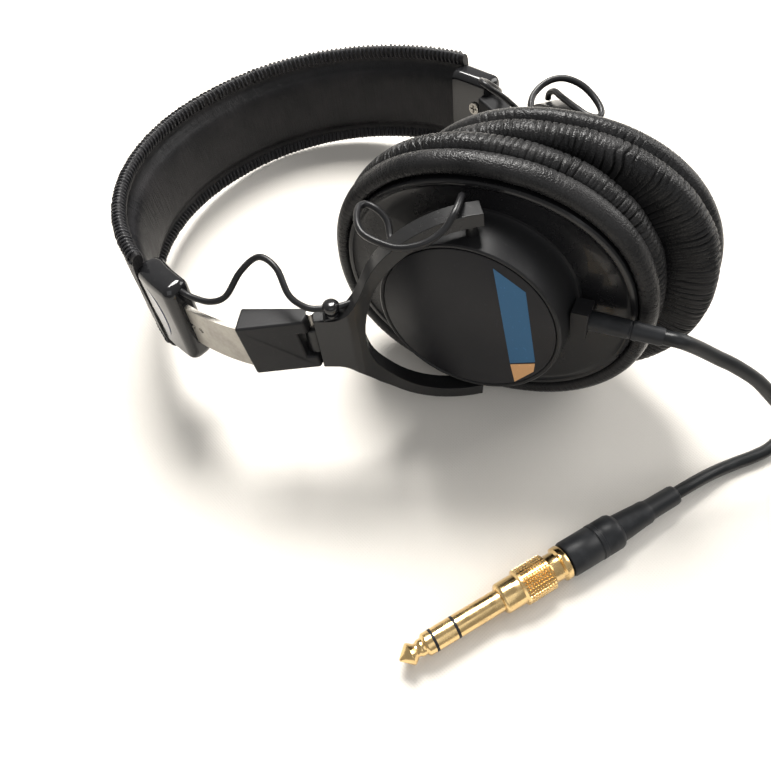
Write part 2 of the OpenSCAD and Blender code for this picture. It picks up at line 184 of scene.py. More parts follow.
def leather(name, dark, worn, rough, wrinkle=None, shaded_folds=False):
    """Leatherette: cell grain and slow tone; the band has long cross wrinkles, the pads painted shade darkening
    their folds.
    """
    s = Shade(name, Specular_IOR_Level=0.2)
    at = s.where("cloth") if wrinkle else s.where()
    grain = s.levels(s.cells(at, 1500.0), 0.0, 0.22)
    tone = s.noise(at, 60.0, 5.0)
    colour = s.mix(s.levels(tone, 0.35, 0.7), dark, worn)
    roughness = s.levels(tone, 0.3, 0.7, rough - 0.07, rough + 0.08) - grain * 0.06
    if shaded_folds:
        # Painted shade: the pad's colour is darkened towards near black where its fold attribute is high, as if
        # the creases lay in shadow.
        fold = s.levels(s.node("ShaderNodeAttribute", {"attribute_name": "fold"}, out="Fac"), 0.05, 0.55)
        colour = s.mix(fold, colour, rgb(0.0012, 0.0012, 0.0013))
        roughness = roughness + fold * 0.3
    s.feed("Base Color", colour)
    s.feed("Roughness", roughness)
    normal = s.bump(grain + s.noise(at, 3200.0, 2.0) * 0.5, 0.35, 0.12)
    if wrinkle:
        long_folds = s.noise(s.stretched(at, wrinkle), 1.0, 4.0, 0.6)
        normal = s.bump(s.levels(long_folds, 0.42, 0.6), 0.4, 0.25, normal)
    s.feed("Normal", normal)
    return s.material


def moulded(name, colour, rough, grain=2200.0, depth=0.05, coat=0.0):
    """Moulded or painted black: fine texture, a little dust and finger wear in the gloss."""
    s = Shade(name, Specular_IOR_Level=0.2, Coat_Weight=coat, Coat_Roughness=0.08)
    at = s.where()
    smear = s.noise(at, 45.0, 5.0)
    dust = s.levels(s.noise(at, 900.0, 2.0), 0.62, 0.75)
    lighter = rgb(*(min(1.0, c * 1.6 + 0.006) for c in colour[:3]))
    s.feed("Base Color", s.mix(dust * 0.5, colour, lighter))
    s.feed("Roughness", s.levels(smear, 0.3, 0.7, rough - 0.05, rough + 0.07) + dust * 0.08)
    s.feed("Normal", s.bump(s.noise(at, grain, 2.0), 0.3, depth))
    return s.material


def metal(name, colour, rough, lines=(40.0, 40.0, 2600.0), depth=0.02):
    """Brushed or plated metal: fine lines drawn one way, and cloudy tarnish in its roughness."""
    s = Shade(name, Metallic=1.0)
    at = s.where()
    drawn = s.noise(s.stretched(at, lines), 1.0, 3.0)
    cloud = s.noise(at, 180.0, 4.0)
    darker = rgb(*(c * 0.72 for c in colour[:3]))
    s.feed("Base Color", s.mix(s.levels(cloud, 0.4, 0.75, 0.0, 0.6), colour, darker))
    s.feed("Roughness", s.levels(drawn, 0.3, 0.7, rough - 0.05, rough + 0.1) + cloud * 0.05)
    s.feed("Normal", s.bump(drawn, 0.35, depth))
    return s.material


def rubber(name, colour, rough):
    s = Shade(name, Specular_IOR_Level=0.25)
    at = s.where()
    scuff = s.levels(s.noise(at, 220.0, 5.0), 0.5, 0.75)
    s.feed("Base Color", s.mix(scuff * 0.6, colour, rgb(*(c * 1.8 + 0.004 for c in colour[:3]))))
    s.feed("Roughness", scuff * 0.12 + rough)
    s.feed("Normal", s.bump(s.noise(at, 1800.0, 2.0), 0.25, 0.05))
    return s.material


def woven(name, colour, pitch, rough=0.85):
    """Cloth: two crossed wave sets for the weave, with slow creases."""
    s = Shade(name, Roughness=rough, Sheen_Weight=0.15)
    at = s.where()
    warp = s.node("ShaderNodeTexWave", {"bands_direction": "X"}, {"Vector": at, "Scale": pitch, "Distortion": 0.4})
    weft = s.node("ShaderNodeTexWave", {"bands_direction": "Y"}, {"Vector": at, "Scale": pitch, "Distortion": 0.4})
    weave = warp * weft
    tone = s.noise(at, 9.0, 4.0)
    darker = rgb(*(c * 0.93 for c in colour[:3]))
    s.feed("Base Color", s.mix(s.levels(tone, 0.35, 0.7) * 0.6 + weave * 0.25, colour, darker))
    s.feed("Normal", s.bump(tone, 0.3, 1.6, s.bump(weave, 0.35, 0.12)))
    return s.material


BLACK = rgb(0.010, 0.010, 0.011)
WRINKLES = (420.0, 60.0, 200.0)     # along the band, across it, through it: folds per metre
band_leather = leather("band_leather", rgb(0.008, 0.008, 0.009), rgb(0.017, 0.016, 0.017), 0.46, WRINKLES)
# The pad leather carries painted shade in its folds.
pad_leather = leather("pad_leather", rgb(0.009, 0.009, 0.0095), rgb(0.02, 0.0195, 0.02), 0.33,
                      shaded_folds=True)
thread = rubber("stitch_thread", rgb(0.02, 0.02, 0.022), 0.28)
gloss_black = moulded("gloss_black", BLACK, 0.16, 500.0, 0.03, 0.5)
satin_black = moulded("satin_black", rgb(0.014, 0.014, 0.015), 0.42)
flange_black = moulded("flange_black", rgb(0.010, 0.010, 0.011), 0.27, 1500.0, 0.02, 0.3)
disc_black = moulded("disc_black", rgb(0.012, 0.012, 0.014), 0.42, 3000.0, 0.03)
painted = moulded("black_paint", rgb(0.013, 0.013, 0.0135), 0.30, 1200.0, 0.03, 0.15)
steel = metal("brushed_steel", rgb(0.40, 0.38, 0.345), 0.42, (900.0, 900.0, 900.0), 0.05)
spring_steel = metal("spring_steel", rgb(0.45, 0.45, 0.46), 0.35)
gold = metal("gold_plate", rgb(0.80, 0.57, 0.27), 0.17, (300.0, 300.0, 300.0), 0.001)
magnet_plate = metal("magnet_plate", rgb(0.4, 0.4, 0.42), 0.4)
wire_sleeve = rubber("wire_sleeve", rgb(0.012, 0.012, 0.013), 0.32)
cord_sleeve = rubber("cord_sleeve", rgb(0.010, 0.011, 0.012), 0.36)
boot_rubber = rubber("boot_rubber", rgb(0.013, 0.014, 0.016), 0.42)
film = moulded("driver_film", rgb(0.55, 0.5, 0.4), 0.3)
foam_cloth = woven("foam_cloth", rgb(0.015, 0.015, 0.016), 900.0)
tie_cloth = woven("tie_cloth", rgb(0.03, 0.03, 0.034), 1200.0)
blue_print = moulded("blue_print", rgb(0.028, 0.105, 0.21), 0.40, 3000.0, 0.02)
peach_print = moulded("peach_print", rgb(0.60, 0.33, 0.15), 0.42, 3000.0, 0.02)
inlay_blue = moulded("inlay_blue", rgb(0.05, 0.06, 0.10), 0.2, 900.0, 0.02, 0.6)
floor_cloth = woven("floor_cloth", rgb(0.80, 0.765, 0.71), 420.0)


# ---- Making pieces ----

def finish(name, bm, m, material, body=None, nodes=(), crease=35.0, join=None, bevel=None):
    """Puts a local mesh in its place and gives it its material; it hangs it on its body, or leaves a piece that
    joins two in world place.
    """
    if m is not None:
        bmesh.ops.transform(bm, matrix=m, verts=bm.verts)
    bmesh.ops.recalc_face_normals(bm, faces=bm.faces)
    mesh = bpy.data.meshes.new(name)
    bm.to_mesh(mesh)
    bm.free()
    mesh.shade_smooth()
    mesh.set_sharp_from_angle(angle=math.radians(crease))
    mesh.materials.append(material)
    o = bpy.data.objects.new(name, mesh)
    bpy.context.scene.collection.objects.link(o)
    if bevel:
        b = o.modifiers.new("edges", "BEVEL")
        b.width, b.segments, b.limit_method, b.angle_limit = bevel * MM, 3, "ANGLE", math.radians(35)
        b.harden_normals = True
    if join:
        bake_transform(o)
    else:
        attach(o, body)
    if nodes:
        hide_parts(*nodes)
    return o


def loop(bm, points, closed=True):
    """A chain of vertices and edges through points."""
    vs = [bm.verts.new(p) for p in points]
    pairs = list(zip(vs, vs[1:] + vs[:1])) if closed else list(zip(vs, vs[1:]))
    return vs + [bm.edges.new(p) for p in pairs]


def slab(bm, outline, y0, y1):
    """A flat outline in x and z, given depth along y."""
    geom = loop(bm, [(x, y0, z) for x, z in outline])
    face = bmesh.ops.contextual_create(bm, geom=geom)["faces"]
    out = bmesh.ops.extrude_face_region(bm, geom=face)["geom"]
    bmesh.ops.translate(bm, vec=(0, y1 - y0, 0), verts=[g for g in out if isinstance(g, bmesh.types.BMVert)])


def lathe(bm, profile, steps, axis=(0, 1, 0), centre=(0, 0, 0)):
    """A profile (radius, height) spun about an axis; the profile starts and ends on the axis or closes itself."""
    axis = Vector(axis)
    side = Vector((1, 0, 0)) if abs(axis.x) < 0.5 else Vector((0, 0, 1))
    geom = loop(bm, [Vector(centre) + side * r + axis * h for r, h in profile], closed=False)
    bmesh.ops.spin(bm, geom=geom, cent=centre, axis=axis, angle=2 * math.pi, steps=steps, use_merge=True)
    bmesh.ops.remove_doubles(bm, verts=bm.verts, dist=1e-4)


def curve_through(points, steps):
    """Points on a smooth curve through the given ones."""
    p = [Vector(q) for q in points]
    p = [2 * p[0] - p[1]] + p + [2 * p[-1] - p[-2]]
    out = []
    for a, b, c, d in zip(p, p[1:], p[2:], p[3:]):
        for i in range(steps):
            f = i / steps
            square, cube = 2 * a - 5 * b + 4 * c - d, 3 * b - a - 3 * c + d
            out.append(0.5 * (2 * b + (c - a) * f + square * f * f + cube * f ** 3))
    return out + [p[-2]]


# ---- Camera ----

def make_camera():
    target = Vector((44.19, -44.05, 46.68)) * MM
    distance, azimuth, elevation, roll = 185.8 * MM, math.radians(47.42), math.radians(59.67), math.radians(-2.11)
    back = Vector((math.sin(azimuth) * math.cos(elevation), -math.cos(azimuth) * math.cos(elevation),
                   math.sin(elevation)))
    level = Vector((math.cos(azimuth), math.sin(azimuth), 0))
    tall = back.cross(level)
    right = level * math.cos(roll) + tall * math.sin(roll)
    m = Matrix((right, back.cross(right), back)).transposed().to_4x4()
    m.translation = target + back * distance
    data = bpy.data.cameras.new("camera")
    data.lens, data.sensor_width, data.clip_start = 33.57, 36.0, 0.01
    o = bpy.data.objects.new("camera", data)
    o.matrix_world = m
    bpy.context.scene.collection.objects.link(o)
    bpy.context.scene.camera = o


make_camera()


# ---- Cord ----

EXIT = (88.65, 11.17, 54.34)
FALL = [EXIT, (92.4, 12.7, 55), (96.4, 16.9, 51.4), (100.8, 21, 47.4), (105.2, 24.7, 44), (111.3, 29.3, 38.6),
        (116.7, 33.2, 32), (121.8, 36.9, 25.2), (126.6, 40.6, 18), (131.2, 43.9, 11.3), (135.6, 46.9, 6.4),
        (140.3, 48.6, 3.2), (145.6, 47.6, 2)]
PLUG_TIP = Vector((90.6, -85.4, 5.2))
PLUG_WAY = Vector((math.cos(math.radians(75)), math.sin(math.radians(75)), 0))
TO_PLUG = [PLUG_TIP + PLUG_WAY * 93.9, PLUG_TIP + PLUG_WAY * 97.9, (117.6, 15.4, 4.2), (119.6, 22, 2.7),
           (122.2, 28.6, 2), (124.8, 34.4, 2), (126.8, 40.4, 2), (127.6, 49, 3), (127.8, 58, 6.5),
           (128.6, 69, 11.5), (131, 79.5, 13.9)]
COIL_AT = (165, 75)
COIL_R = (15.0, 33.0)
COIL_START = -115.0
COIL_LAYERS, COIL_TURNS = 4, 4.5


def coil_points():
    """Layers of spiral turns, in and out by turns, each a diameter above the last."""
    per_turn, rise_turns = 40, 0.25
    out, angle, radius, z = [], math.radians(COIL_START), COIL_R[1], CORD_D / 2
    for layer in range(COIL_LAYERS):
        goal = COIL_R[layer % 2]
        count = int(COIL_TURNS * per_turn)
        step = (goal - radius) / count
        for i in range(count):
            out.append((angle, radius, z))
            angle += 2 * math.pi / per_turn
            radius += step
        if layer < COIL_LAYERS - 1:
            count = int(rise_turns * per_turn)
            for i in range(count):
                out.append((angle, radius, z + CORD_D * (i / count) ** 2 * (3 - 2 * i / count)))
                angle += 2 * math.pi / per_turn
            z += CORD_D
    out.append((angle, radius, z))
    return [Vector((COIL_AT[0] + r * math.cos(a), COIL_AT[1] + r * math.sin(a), h)) for a, r, h in out]


def tube_curve(name, points, diameter, material):
    """A round tube along points in millimetres, as a curve."""
    data = bpy.data.curves.new(name, "CURVE")
    data.dimensions, data.use_fill_caps = "3D", True
    data.bevel_depth, data.bevel_resolution = diameter / 2 * MM, 3
    line = data.splines.new("POLY")
    line.points.add(len(points) - 1)
    for at, q in zip(line.points, points):
        at.co = (*(Vector(q) * MM), 1)
    line.use_smooth = True
    data.materials.append(material)
    o = bpy.data.objects.new(name, data)
    bpy.context.scene.collection.objects.link(o)
    return o


def add_tube(bm, points, diameter, material, resolution=3):
    """The same tube as a mesh, added to bm."""
    o = tube_curve("line", points, diameter, material)
    o.data.bevel_resolution = resolution
    mesh = bpy.data.meshes.new_from_object(o.evaluated_get(bpy.context.evaluated_depsgraph_get()))
    bm.from_mesh(mesh)
    line = o.data
    bpy.data.objects.remove(o)
    bpy.data.curves.remove(line)
    bpy.data.meshes.remove(mesh)


def make_cord():
    """The whole cord as one curve: from the cup down, round the coil, and back to the plug."""
    coil = coil_points()
    start = curve_through(FALL + [coil[0], coil[2]], 4)[: -4]
    end = curve_through([coil[-3], coil[-1]] + TO_PLUG[::-1], 4)[4:]
    path = start[:-1] + coil + end[1:]
    length = sum((b - a).length for a, b in zip(path, path[1:])) * MM
    o = tube_curve("cord_run", path, CORD_D, cord_sleeve)
    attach(o, "left_cup")
    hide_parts("cord", "cord_coil", "plug_cord")
    return o, length


cord, cord_length = make_cord()


# ---- Headband ----

# Half of the cover's section (radius, width): the flat back, the rim, the groove and the inner pad.
COVER_PROFILE = [(70.5, 0), (70.6, 7), (70.5, 12), (70.2, 15.2), (69.7, 16.9), (68.9, 18.0),
                 (67.9, 18.4), (67.1, 18.0), (66.7, 17.0), (66.9, 16.0), (67.4, 15.0), (67.6, 13.9),
                 (67.4, 12.6), (66.6, 11.4), (65.5, 10.2), (64.8, 8.2), (64.45, 5), (64.3, 0)]


def cover_section():
    """The cover's closed outline (radius, width), rounded through its half profile."""
    half_line = curve_through([(r, z, 0) for r, z in COVER_PROFILE], 3)
    mirrored = [Vector((q.x, -q.y, 0)) for q in half_line[-2:0:-1]]
    return [(q.x, q.y) for q in half_line + mirrored]


def cover_half(bm, side, start, end, sign):
    """Spins the cover between two angles from the crown, and marks how far along the band each point is."""
    section = cover_section()
    w = math.radians(start)
    geom = loop(bm, [(-r * math.cos(w), -r * math.sin(w), z) for r, z in section])
    steps = max(2, round(abs(end - start) * 1.4))
    swept = bmesh.ops.spin(bm, geom=geom, cent=(0, 0, 0), axis=(0, 0, 1),
                           angle=math.radians(end - start), steps=steps)
    fresh = [v for v in bm.verts if not v.tag]
    layer = bm.verts.layers.float_vector["cloth"]
    for v in fresh:
        along = math.atan2(-v.co.y, -v.co.x)
        v[layer] = Vector((sign * along * BAND_R, v.co.z, math.hypot(v.co.x, v.co.y))) * MM
        puff = noise.noise(Vector((along * 14, v.co.z * 0.12, 3.0 + sign)))
        inner = max(0.0, 1 - abs(v.co.z) / 15) if math.hypot(v.co.x, v.co.y) < 67 else 0.0
        v.co.xy *= 1 - 0.0055 * puff * inner
        v.tag = True
    bmesh.ops.transform(bm, matrix=half[side], verts=fresh)
    rim = [g for g in swept["geom_last"] if isinstance(g, bmesh.types.BMEdge)]
    return [g for g in geom if isinstance(g, bmesh.types.BMEdge)], rim


def on_arc(side, degrees, r=67.0, z=0.0):
    """The point of a half band at an angle from the crown."""
    w = math.radians(degrees)
    return half[side] @ Vector((-r * math.cos(w), -r * math.sin(w), z))


def rim_stitch(name, runs, join):
    """A whip stitch wound round both edges of the cover, along runs of (side, from, to)."""
    bm = bmesh.new()
    pitch, thick = 1.75, 0.42
    for side, start, end in runs:
        turns = round(abs(end - start) * math.radians(1) * BAND_R / pitch)
        for edge in (-1, 1):
            line = []
            for i in range(turns * 12 + 1):
                f = i / 12
                a = 2 * math.pi * f
                uneven = noise.noise(Vector((f * 0.9, edge * 5.0, start)))
                w = math.radians(start + (end - start) * (f + 0.22 * uneven) / turns)
                r = 68.35 + (1.9 + 0.3 * uneven) * math.cos(a)
                z = edge * (16.35 + (2.0 + 0.3 * uneven) * math.sin(a))
                line.append(on_arc(side, math.degrees(w), r, z) / MM)
            add_tube(bm, line, thick * 2, thread, 1)
    finish(name, bm, None, thread, join=join, crease=180)


def make_cover():
    flex, weld = 13.0, 0.45 * MM
    for side, sign in (("left", -1), ("right", 1)):
        bm = bmesh.new()
        bm.verts.layers.float_vector.new("cloth")
        for ring in cover_half(bm, side, SEAM_AT, BAND_HALF + 0.6, sign):
            bmesh.ops.contextual_create(bm, geom=ring)
        ends = (on_arc(side, FLEX_AT + flex), on_arc(side, FLEX_AT - flex))
        bodies = (side + "_band", side + "_crown")
        join = (*bodies, *ends) if side == "left" else (*bodies[::-1], *ends[::-1])
        finish("band_cover_" + side, bm, None, band_leather, join=join,
               nodes=["cover_" + side], crease=60)
        rim_stitch("rim_stitch_" + side, [(side, SEAM_AT, BAND_HALF - 0.5)], join)
    bm = bmesh.new()
    bm.verts.layers.float_vector.new("cloth")
    first = cover_half(bm, "left", 0, SEAM_AT, -1)
    second = cover_half(bm, "right", 0, SEAM_AT, 1)
    for ring in (first[1], second[1]):
        bmesh.ops.contextual_create(bm, geom=ring)
    at_crown = list({v for e in first[0] + second[0] for v in e.verts})
    bmesh.ops.remove_doubles(bm, verts=at_crown, dist=weld)
    join = ("left_crown", "right_crown", on_arc("left", 12), on_arc("right", 12))
    finish("band_cover_crown", bm, None, band_leather, join=join,
           nodes=["cover_crown_left", "cover_crown_right"], crease=60)
    rim_stitch("rim_stitch_crown", [("left", SEAM_AT, 0), ("right", 0, SEAM_AT)], join)


def rounded_box(r0, r1, half_w, corner, k=5):
    """A rounded rectangle's points (radius, width)."""
    out = []
    for cx, cz, start in ((r1 - corner, half_w - corner, 0), (r0 + corner, half_w - corner, 90),
                          (r0 + corner, -half_w + corner, 180), (r1 - corner, -half_w + corner, 270)):
        for i in range(k + 1):
            a = math.radians(start + 90 * i / k)
            out.append((cx + corner * math.cos(a), cz + corner * math.sin(a)))
    return out


def arc_loft(bm, stations):
    """Bridges outlines (radius, width) that stand at angles from the crown, and closes both ends."""
    rings = []
    for degrees, outline in stations:
        w = math.radians(degrees)
        geom = loop(bm, [(-r * math.cos(w), -r * math.sin(w), z) for r, z in outline])
        rings.append([g for g in geom if isinstance(g, bmesh.types.BMEdge)])
    for a, b in zip(rings, rings[1:]):
        bmesh.ops.bridge_loops(bm, edges=a + b)
    for ring in (rings[0], rings[-1]):
        bmesh.ops.contextual_create(bm, geom=ring)


def make_end_cap(side):
    """A glossy rounded shell: full at the band's end, drawn in round its far end."""
    cap_to, cap_in, cap_out, half_w, round_off = 96.1, 61.6, 69.8, 14.25, 2.6
    stations = []
    for degrees, grow in ((82.0, 0.0), (83.0, 0.3), (84.2, 0.35), (88.0, 0.1)):
        outline = rounded_box(cap_in - grow * 0.3, cap_out + grow, half_w + grow, round_off)
        stations.append((degrees, outline))
    for i in range(7):
        a = math.pi / 2 * i / 6
        inset = round_off * (1 - math.cos(a)) if i else 0.0
        degrees = cap_to - math.degrees(round_off * (1 - math.sin(a)) / 66)
        corner = max(0.6, round_off - inset * 0.5)
        stations.append((degrees, rounded_box(cap_in + inset, cap_out - inset, half_w - inset, corner)))
    bm = bmesh.new()
    arc_loft(bm, stations)
    finish("cap_shell_" + side, bm, half[side], gloss_black, side + "_band",
           ["end_cap_" + side], crease=50)

    bm = bmesh.new()
    leaf_from, leaf_long, leaf_half, under, over = 84.6, 5.4, 10.5, 69.55, 70.02
    leaf = []
    for a in range(0, 181, 10):
        w = math.radians(leaf_from + leaf_long * math.sin(math.radians(a)))
        leaf.append((-under * math.cos(w), -under * math.sin(w), -leaf_half * math.cos(math.radians(a))))
    geom = loop(bm, leaf)
    face = bmesh.ops.contextual_create(bm, geom=geom)["faces"]
    out = bmesh.ops.extrude_face_region(bm, geom=face)["geom"]
    for v in (g for g in out if isinstance(g, bmesh.types.BMVert)):
        v.co.xy *= over / under
    finish("cap_inlay_" + side, bm, half[side], inlay_blue, side + "_band", bevel=0.2)

    bm = bmesh.new()
    slot_outline = rounded_box(64.6, 66.6, 7.7, 0.5, 2)
    arc_loft(bm, [(95.6, slot_outline), (96.35, slot_outline)])
    finish("cap_slot_" + side, bm, half[side], satin_black, side + "_band")


# ---- Hinge blocks, yokes and clips ----

def make_block(side):
    """The block on the arm's end: slanted ends, a slot for the yoke's knuckle, and a thicker near end."""
    slant, thicken = 0.12, 0.165
    bm = bmesh.new()
    outline = [(-18.5, -9), (1.2, -9), (1.2, -4.5), (-3, -4.5), (-3, 4.5), (1.2, 4.5), (1.2, 9),
               (-18.5, 9)]
    slab(bm, outline, -3.8, 1.9)
    for v in bm.verts:
        if v.co.y < 0:
            v.co.y -= max(0.0, -2 - v.co.x) * thicken
            v.co.x -= 1.5 if v.co.x > 0 else 0.0
        v.co.x -= slant * v.co.z
    finish("slider_block_" + side, bm, block_at[side], satin_black, side + "_arm",
           ["hinge_block_" + side], bevel=0.75)


def stem_shift(x):
    """How far the yoke's stem stands outside the plane of its ring."""
    if x > -24:
        return 0.0
    on_stem = -0.95 - (min(x, -34) + YOKE_REACH) * 0.23
    return on_stem if x < -34 else on_stem * (0.5 - 0.5 * math.cos(math.pi * (-24 - x) / 10))


def ring_points(r, start, end):
    """Points of the yoke's ring, by angle from the stem."""
    return [(-r * math.cos(math.radians(a)), r * math.sin(math.radians(a))) for a in range(start, end, -5)]


def make_yoke(side):
    """Half ring and flat stem, with the knuckle, the pad under the wire clip, and the clip."""
    bm = bmesh.new()
    inner = ring_points(RING_IN, 95, -96)
    outer = ring_points(RING_OUT, 94, 33)
    p0, p1, p2 = Vector(outer[-1]), Vector((-33.8, 9.4)), Vector((-38.8, 9.0))
    flare = [p0 * (1 - f) ** 2 + p1 * 2 * f * (1 - f) + p2 * f * f for f in (i / 8 for i in range(1, 9))]
    top = outer + [tuple(p) for p in flare] + [(-43.3, 9.0)]
    slab(bm, top + [(x, -z) for x, z in top[::-1]] + inner[::-1], -2.75, 2.75)
    for cut in range(-42, -23, 2):
        bmesh.ops.bisect_plane(bm, geom=bm.verts[:] + bm.edges[:] + bm.faces[:],
                               plane_co=(cut, 0, 0), plane_no=(1, 0, 0))
    for v in bm.verts:
        v.co.y += stem_shift(v.co.x)
    finish("yoke_ring_" + side, bm, yoke_at[side], painted, side + "_yoke",
           ["yoke_" + side], bevel=0.7)

    bm = bmesh.new()
    lathe(bm, [(0, -4.2), (2.3, -4.2), (2.6, -3.9), (2.6, 3.9), (2.3, 4.2), (0, 4.2)], 32, (0, 0, 1))
    bmesh.ops.transform(bm, matrix=Matrix.Translation((-YOKE_REACH, 0, 0)), verts=bm.verts)
    finish("knuckle_" + side, bm, yoke_at[side], painted, side + "_yoke")

    bm = bmesh.new()
    slab(bm, [(-40.8, 8.9), (-33.6, 8.9), (-34.4, 9.75), (-40.2, 9.75)], -4.6, -0.6)
    finish("stem_pad_" + side, bm, yoke_at[side], painted, side + "_yoke", bevel=0.5)

    bm = bmesh.new()
    barrel = [(0, 9.6), (2.0, 9.6), (2.05, 10.3), (1.5, 10.6), (1.45, 11.1), (2.15, 11.4), (2.3, 11.8),
              (2.25, 12.9), (1.9, 13.4), (1.1, 13.7), (0, 13.75)]
    lathe(bm, barrel, 28, (0, 0, 1))
    bmesh.ops.transform(bm, matrix=Matrix.Translation((-YOKE_REACH + 6, -2.6, 0)), verts=bm.verts)
    finish("clip_barrel_" + side, bm, yoke_at[side], gloss_black, side + "_yoke",
           ["wire_clip_" + side])


# ---- Link wires: routes in the half band's and the yoke's own places ----

ARM_WIRE = {
    "left": [(3, -64.4, 11.6), (7.5, -64.4, 11.6), (11.5, -63.2, 11), (15.7, -61, 10.8), (18.3, -57.4, 12),
             (19, -51.6, 17), (21.3, -46.3, 20), (27.5, -45.3, 19), (34.5, -47.5, 15), (39.5, -46, 12.6),
             (42.5, -43, 12), (43.7, -41.4, 12), (45.3, -39.2, 12), (46.4, -36.2, 11.8)],
    "right": [(3, -64.4, 11.6), (7.5, -64.4, 11.6), (11, -63, 12.2), (12.8, -59, 15.5), (12, -54, 20),
              (14, -49, 23), (18, -48, 22.5), (21, -51.6, 18.5), (22.6, -55, 14.5), (25, -55.8, 12.4),
              (27.1, -54.4, 12), (28.8, -53.3, 12), (30.6, -52.2, 12), (32.5, -50, 11.8)]}
CUP_WIRE = {
    "left": [(-19.9, 3.05, 25.7), (-20, 5, 26.2), (-20.1, 8.4, 28), (-21.9, 10.9, 30), (-24.7, 12.8, 31),
             (-26.8, 11, 31.5), (-27.7, 5.4, 31.5), (-26.7, 1, 31), (-23, -2.9, 30.5), (-18.6, -5.9, 30.5),
             (-12.7, -6.8, 31.5), (-8, -5.6, 33.4), (-4.8, -3, 35.8), (-2.2, 2.1, 36), (-1.1, 6.6, 33.4),
             (0.2, 8.7, 32.2), (1.7, 11.1, 32.2)],
    "right": [(-17, -0.55, 30.45), (-16.5, -0.6, 32.4), (-13.5, -0.8, 34.4), (-8.8, -1, 34.9), (-1.8, -1.8, 35.35),
              (3.2, -3, 35.35), (4.6, -5.4, 35), (2.5, -7.2, 35.4), (-2.1, -7, 37), (-6.6, -4.8, 39),
              (-9.9, -0.9, 40), (-11, 3.4, 39), (-8.5, 7.9, 37.5), (-4.4, 9.8, 35.5), (-2.1, 8, 33.8),
              (0.6, 6.6, 32.4), (3, 8.2, 32.2), (5.2, 10, 32.2)]}


def wire_length(name, points, join, nodes=()):
    """One stretch of link wire as a mesh, running from one body to the next."""
    bm = bmesh.new()
    add_tube(bm, points, WIRE_D, wire_sleeve)
    finish(name, bm, None, wire_sleeve, join=join, nodes=nodes, crease=180)


def make_wires(side):
    """One wire from the band to the yoke, in two stretches, and one from the yoke to the cup."""
    line = [q / MM for q in curve_through([half[side] @ Vector(p) for p in ARM_WIRE[side]], 6)]
    cut = len(line) * 6 // 10
    first, second = line[:cut + 1], line[cut:]
    band, arm, stem, cup = (side + "_" + part for part in ("band", "arm", "yoke", "cup"))
    wire_length("band_wire_" + side, first, (band, arm, first[12] * MM, first[-1] * MM), ["arm_wire_" + side])
    wire_length("hinge_wire_" + side, second, (arm, stem, second[0] * MM, second[-16] * MM))
    line = [q / MM for q in curve_through([yoke_at[side] @ Vector(p) for p in CUP_WIRE[side]], 6)]
    wire_length("cup_link_wire_" + side, line, (stem, cup, line[8] * MM, line[-10] * MM),
                ["cup_wire_" + side])


# ---- Cups ----

def make_shell(side):
    """Drum and oval flange of one ear housing."""
    bm = bmesh.new()
    drum = [(0, -3.75), (24.85, -3.75), (24.9, -4.65), (25.2, -4.95), (25.7, -4.95), (26.1, -4.6),
            (26.25, -3.8), (27.0, 6.2), (27.1, 7.6), (27.5, 8.3), (28.4, 8.5), (30.5, 8.5), (30.5, 10),
            (0, 10)]
    lathe(bm, drum, 160)
    finish("drum_" + side, bm, cup_at[side], satin_black, side + "_cup",
           ["ear_housing_" + side], crease=28)

    bm = bmesh.new()
    plate = [(24, 8.45), (36, 8.45), (39.4, 8.4), (40.2, 8.1), (40.7, 7.65), (41.3, 7.55), (41.9, 7.7),
             (42.35, 8.3), (42.4, 9.2), (42.4, 11.6), (41.9, 12), (24, 12)]
    oval_lathe(bm, plate, 240, FLANGE[1] / FLANGE[0], 0.0)
    finish("flange_" + side, bm, cup_at[side], flange_black, side + "_cup", crease=28)

    bm = bmesh.new()
    back = DISC_Y + 1.2
    lathe(bm, [(0, DISC_Y), (24.35, DISC_Y), (24.65, DISC_Y + 0.15), (24.7, back), (0, back)], 160)
    finish("back_disc_" + side, bm, cup_at[side], disc_black, side + "_cup",
           ["name_disc_" + side], crease=28)


def oval_lathe(bm, profile, steps, slope, offset):
    """A closed profile (half length, depth) spun into ovals whose half height is slope * a + offset."""
    n = 2.15                            # 2 is an ellipse, and more is squarer
    geom = loop(bm, [(a, y, 0) for a, y in profile])
    bmesh.ops.spin(bm, geom=geom, cent=(0, 0, 0), axis=(0, 1, 0), angle=2 * math.pi, steps=steps,
                   use_merge=True)
    for v in bm.verts:
        a, w = math.hypot(v.co.x, v.co.z), math.atan2(v.co.z, v.co.x)
        c, s = math.cos(w), math.sin(w)
        v.co.x = math.copysign(abs(c) ** (2 / n), c) * a
        v.co.z = math.copysign(abs(s) ** (2 / n), s) * (slope * a + offset)


def make_label():
    """Two printed bars on the left disc, with no lettering."""
    bars = {"blue_bar": ([(7.3, 21.2), (15.9, 15.7), (19.8, -9.1), (12.8, -12.2)], blue_print),
            "peach_bar": ([(12.9, -12.7), (19.8, -9.7), (19.6, -13.2), (14.4, -19.6)], peach_print)}
    for name, (outline, material) in bars.items():
        bm = bmesh.new()
        slab(bm, outline, DISC_Y + 0.02, DISC_Y - 0.05)
        finish(name, bm, cup_at["left"], material, "left_cup")


# The pad's section (inset from its outer edge, depth): back roll, seam, face roll, hole and back.
PAD_SECTION = [(4.85, 8.6), (4.1, 7.75), (2.6, 7.6), (1.2, 8.5), (0.3, 10.4), (0.35, 12.5), (1.5, 14.0),
               (2.3, 14.5), (1.2, 15.2), (0.1, 16.8), (0.0, 19.0), (0.7, 20.9), (2.3, 22.2), (4.8, 22.75),
               (8.2, 22.8), (12, 22.5), (15.6, 21.6), (18.4, 19.9), (19.9, 17.6), (20.1, 15.2),
               (19.6, 14.15), (15, 13.95), (10, 13.95), (9.5, 12.3), (5.3, 12.1), (5.0, 10.4)]
PAD_SEAM = 14.3


GATHERS = 142       # folds round the face roll


